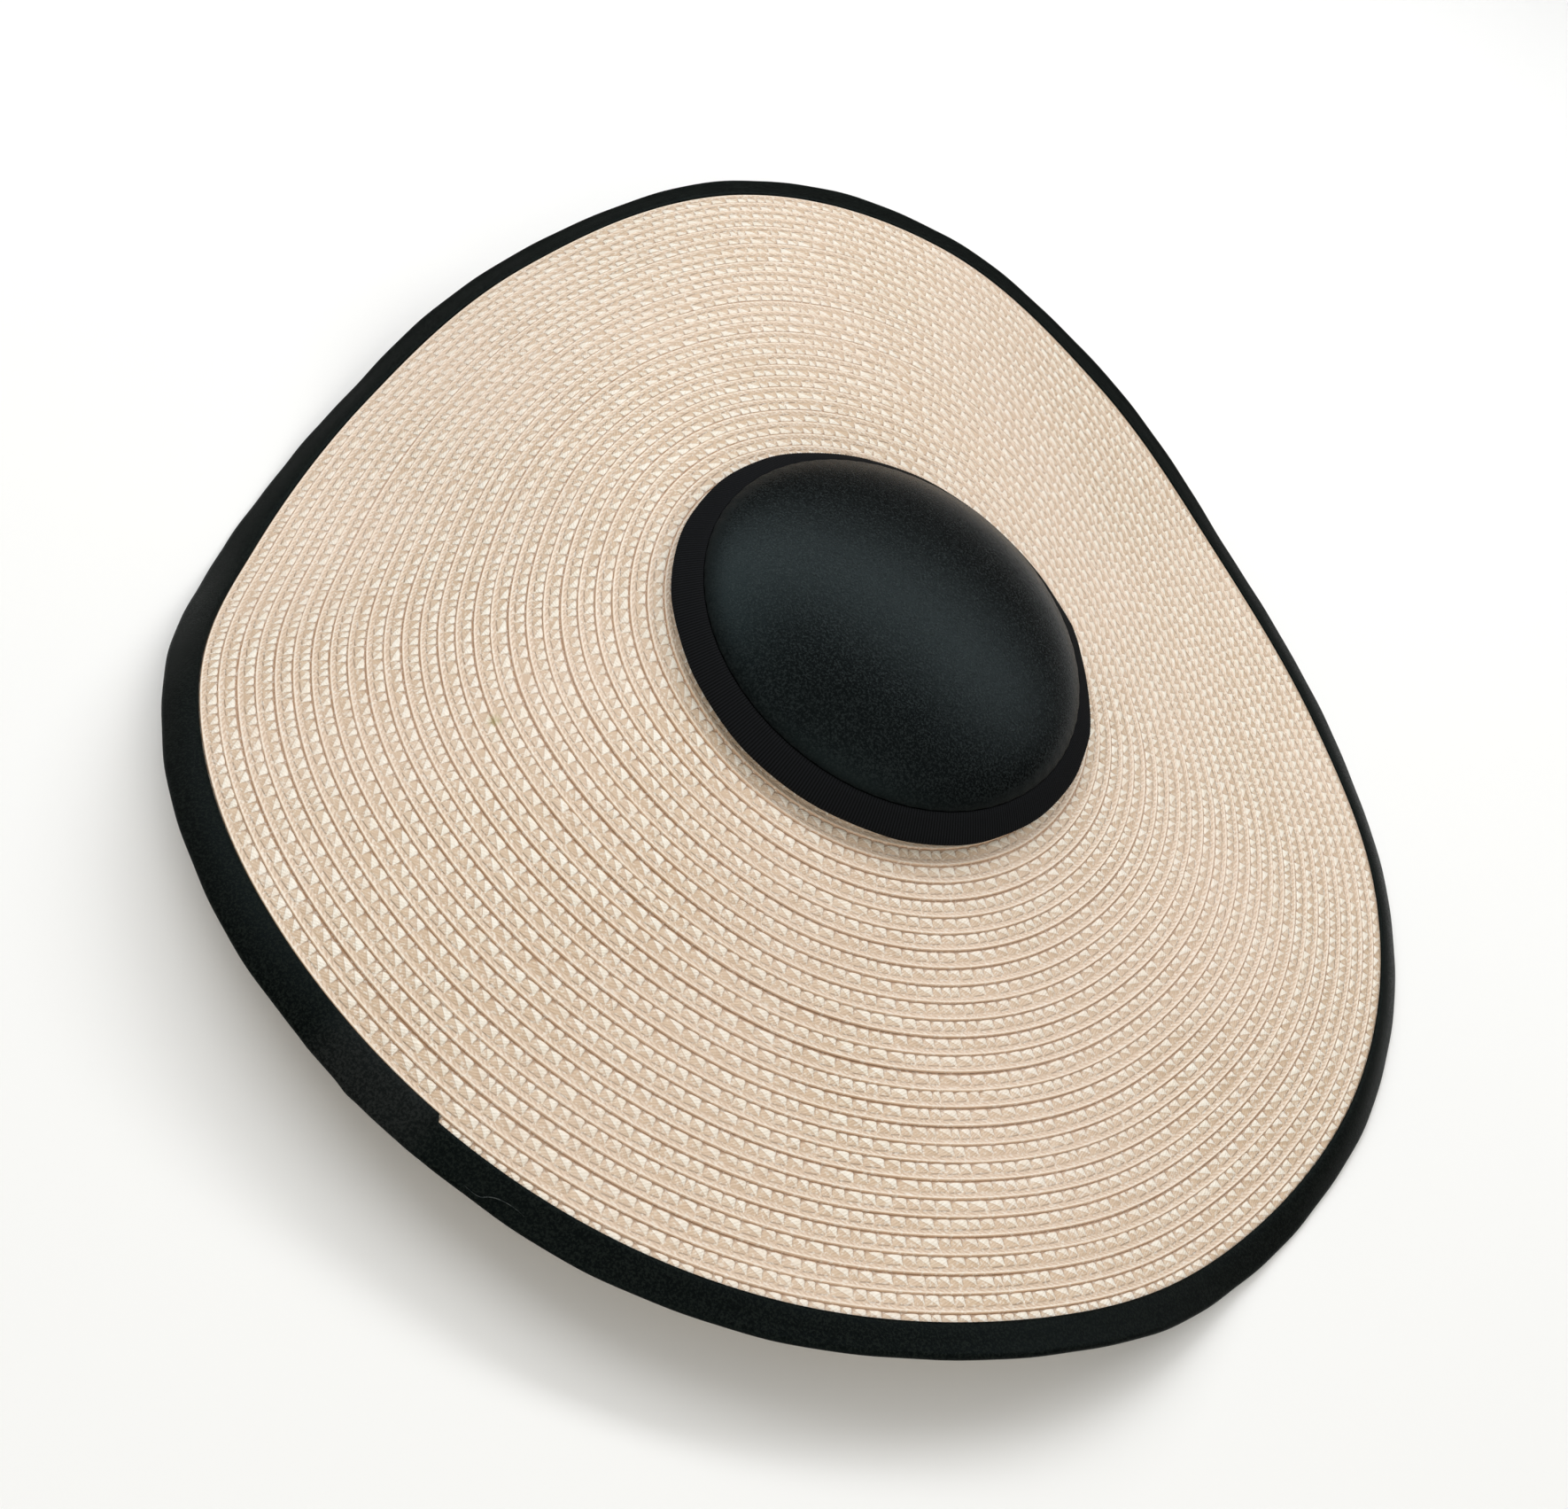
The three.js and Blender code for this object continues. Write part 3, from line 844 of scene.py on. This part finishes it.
def make_edge_strip():
    distance, rise, seen = strip_section()
    outer = BRIM_WIDTH + EDGE_WIDTH
    turn = np.arange(STRIP_STEPS)[:, None] / STRIP_STEPS

    # Ripples, the doubled layer at the join and the crease across it
    loose = np.clip((distance - BRIM_WIDTH) / EDGE_WIDTH, 0, 1) ** 2
    ripple = sum(a * np.sin(2 * math.pi * (f * turn + p)) for a, f, p in RIPPLES)
    slant = np.clip((turn - JOIN_START) * 360 / JOIN_SLANT, 0, 1)
    slant = slant * np.clip((JOIN_END - turn) * 360 / JOIN_SLANT, 0, 1)
    doubled = slant * JOIN_THICKNESS * seen * (distance > BRIM_WIDTH + 0.5)
    crease = np.exp(-(((turn - CREASE_TURN) * 360 - 0.12 * (distance - BRIM_WIDTH)) / 0.35) ** 2)
    rise = rise + ripple * 0.35 * loose + doubled - 0.25 * crease * seen

    # The inner edge follows the last row's ridge, up to the braid's cut end
    since_end = (BRAID_END_TURN - turn) % 1.0
    last_row = np.minimum(BRIM_WIDTH, LAST_RIDGE + 0.1 + ROW_PITCH * since_end) - BRIM_WIDTH
    on_top = np.clip(1 - (distance - BRIM_WIDTH) / 4, 0, 1) * seen
    notch = np.exp(-(((turn - NOTCH_TURN) * 360) / 0.7) ** 2) * 0.35
    wide = distance + last_row * on_top + ripple * loose
    wide = wide + notch * (distance > outer - 1.5) + slant * 0.25 * (distance > outer - 1.0)

    points = on_brim(wide, turn + 0 * wide, rise)
    along = np.arange(STRIP_STEPS + 1) * STRIP_WEAVE / STRIP_STEPS
    over = np.append(np.linspace(0, 4, points.shape[1]), 4.2)
    grid_piece(
        "edge_strip", points[:, ::-1], (along, over[::-1]), EDGE_SATIN,
        ("edge_binding",), around=True, across=True, sheets=8,
    )


# The loose thread: points along it, radius in millimetres, and the degrees at which it starts
THREAD_POINTS, THREAD_RADIUS, THREAD_START = 28, 0.17, 271.2
# The middle of the thread over the strip's own middle
THREAD_RISE = 1.75


def make_loose_thread():
    """A short end of thread that lies on the strip by its join."""
    share = np.linspace(0, 1, THREAD_POINTS)
    distance = BRIM_WIDTH + 8.9 - 2.6 * share + 0.8 * np.sin(share * 7)
    turn = (THREAD_START + 4.4 * share + 0.25 * np.sin(share * 9)) / 360
    rise = -BRIM_WALL / 2 + THREAD_RISE + 0.25 * np.sin(share * math.pi)
    centre = on_brim(distance, turn, rise)
    forward = np.gradient(centre, axis=0)
    forward /= np.linalg.norm(forward, axis=1)[:, None]
    side = np.cross(forward, (0, 0, 1))
    side /= np.linalg.norm(side, axis=1)[:, None]
    up = np.cross(side, forward)
    ring = np.arange(6) * math.pi / 3
    radius = THREAD_RADIUS * np.sin(np.clip(share * math.pi, 0.25, math.pi - 0.25))[:, None, None]
    round_it = side[:, None] * np.cos(ring)[None, :, None] + up[:, None] * np.sin(ring)[None, :, None]
    points = centre[:, None] + radius * round_it
    grid_piece(
        "loose_thread", points, (share * 20, np.arange(7) / 6), THREAD, across=True,
    )


make_braid()
make_brim_core()
make_crown()
make_ribbon()
make_edge_strip()
make_loose_thread()


# Floor, light and camera


FLOOR_REACH = 12.0


def make_floor():
    mesh = bpy.data.meshes.new("floor")
    corners = [(x * FLOOR_REACH, y * FLOOR_REACH, 0) for x, y in ((-1, -1), (1, -1), (1, 1), (-1, 1))]
    mesh.from_pydata(corners, [], [(0, 1, 2, 3)])
    n = Nodes("floor_pale")
    n.shader.inputs["Specular IOR Level"].default_value = 0.1
    mesh.materials.append(n.finish(Base_Color=(0.93, 0.93, 0.93), Roughness=0.9))
    floor = bpy.data.objects.new("floor", mesh)
    bpy.context.scene.collection.objects.link(floor)


def make_light(name, towards, distance, width, height, power, color):
    """A soft box in a direction of the hat frame, its width level, turned towards the hat."""
    data = bpy.data.lights.new(name, "AREA")
    data.shape = "RECTANGLE"
    data.size = width
    data.size_y = height
    data.energy = power
    data.color = color
    back = Vector(towards).normalized()
    across = Vector((0, 0, 1)).cross(back).normalized()
    turn = Matrix((across, back.cross(across), back)).transposed().to_4x4()
    light = bpy.data.objects.new(name, data)
    light.matrix_world = HAT @ Matrix.Translation(back * distance) @ turn
    bpy.context.scene.collection.objects.link(light)


# The photograph's view: angle from the cap's axis, roll, distance, pixels for a millimetre there,
# and the pixel at which the hat frame's origin lies
VIEW_TILT = math.radians(44.5)
VIEW_ROLL = math.radians(-39.4)
VIEW_DISTANCE = 713.4
VIEW_SCALE = 3.2
VIEW_CENTRE = (996.4, 729.7)
SENSOR = 36.0


def make_camera():
    right = Vector((1, 0, 0))
    up = Vector((0, math.cos(VIEW_TILT), math.sin(VIEW_TILT)))
    back = Vector((0, -math.sin(VIEW_TILT), math.cos(VIEW_TILT)))
    across = right * math.cos(VIEW_ROLL) - up * math.sin(VIEW_ROLL)
    upright = right * math.sin(VIEW_ROLL) + up * math.cos(VIEW_ROLL)
    turn = Matrix((across, upright, back)).transposed().to_4x4()
    data = bpy.data.cameras.new("camera")
    data.sensor_width = SENSOR
    data.lens = VIEW_SCALE * VIEW_DISTANCE / IMAGE_WIDTH * SENSOR
    data.shift_x = (IMAGE_WIDTH / 2 - VIEW_CENTRE[0]) / IMAGE_WIDTH
    data.shift_y = (VIEW_CENTRE[1] - IMAGE_HEIGHT / 2) / IMAGE_WIDTH
    data.clip_start = 0.05
    camera = bpy.data.objects.new("camera", data)
    camera.matrix_world = HAT @ Matrix.Translation(back * VIEW_DISTANCE * MM) @ turn
    bpy.context.scene.collection.objects.link(camera)
    bpy.context.scene.camera = camera
    return camera


# Name, direction in the hat frame, distance, width and height in metres, power in watts, colour
LIGHTS = (
    ("strip_box", (-0.10, 0.66, 0.75), 1.5, 2.4, 0.30, 12.5, (0.98, 0.99, 1.0)),
    ("key_box", (-0.85, 0.15, 0.75), 2.2, 1.5, 1.5, 19, (0.97, 0.99, 1.0)),
    ("front_box", (0.35, -0.75, 0.70), 2.2, 1.6, 1.6, 16.6, (1.0, 0.972, 0.86)),
)
# Height in the room, from level to overhead, and how bright it is there
ROOM_LEVELS = ((0.0, 0.07), (0.42, 0.12), (0.80, 0.50))


def make_room():
    """The room: bright overhead, dim towards the horizon."""
    world = bpy.data.worlds.new("studio")
    world.use_nodes = True
    tree = world.node_tree
    place = tree.nodes.new("ShaderNodeTexCoord")
    split = tree.nodes.new("ShaderNodeSeparateXYZ")
    room = tree.nodes.new("ShaderNodeValToRGB")
    stops = room.color_ramp.elements
    stops.new(ROOM_LEVELS[1][0])
    for stop, (height, level) in zip(stops, ROOM_LEVELS):
        stop.position = height
        stop.color = (level, 0.985 * level, 0.96 * level, 1.0)
    tree.links.new(place.outputs["Generated"], split.inputs[0])
    tree.links.new(split.outputs[2], room.inputs[0])
    tree.links.new(room.outputs[0], tree.nodes["Background"].inputs[0])
    bpy.context.scene.world = world


make_floor()
make_camera()
for light in LIGHTS:
    make_light(*light)
make_room()
bpy.context.scene.view_settings.view_transform = "Standard"
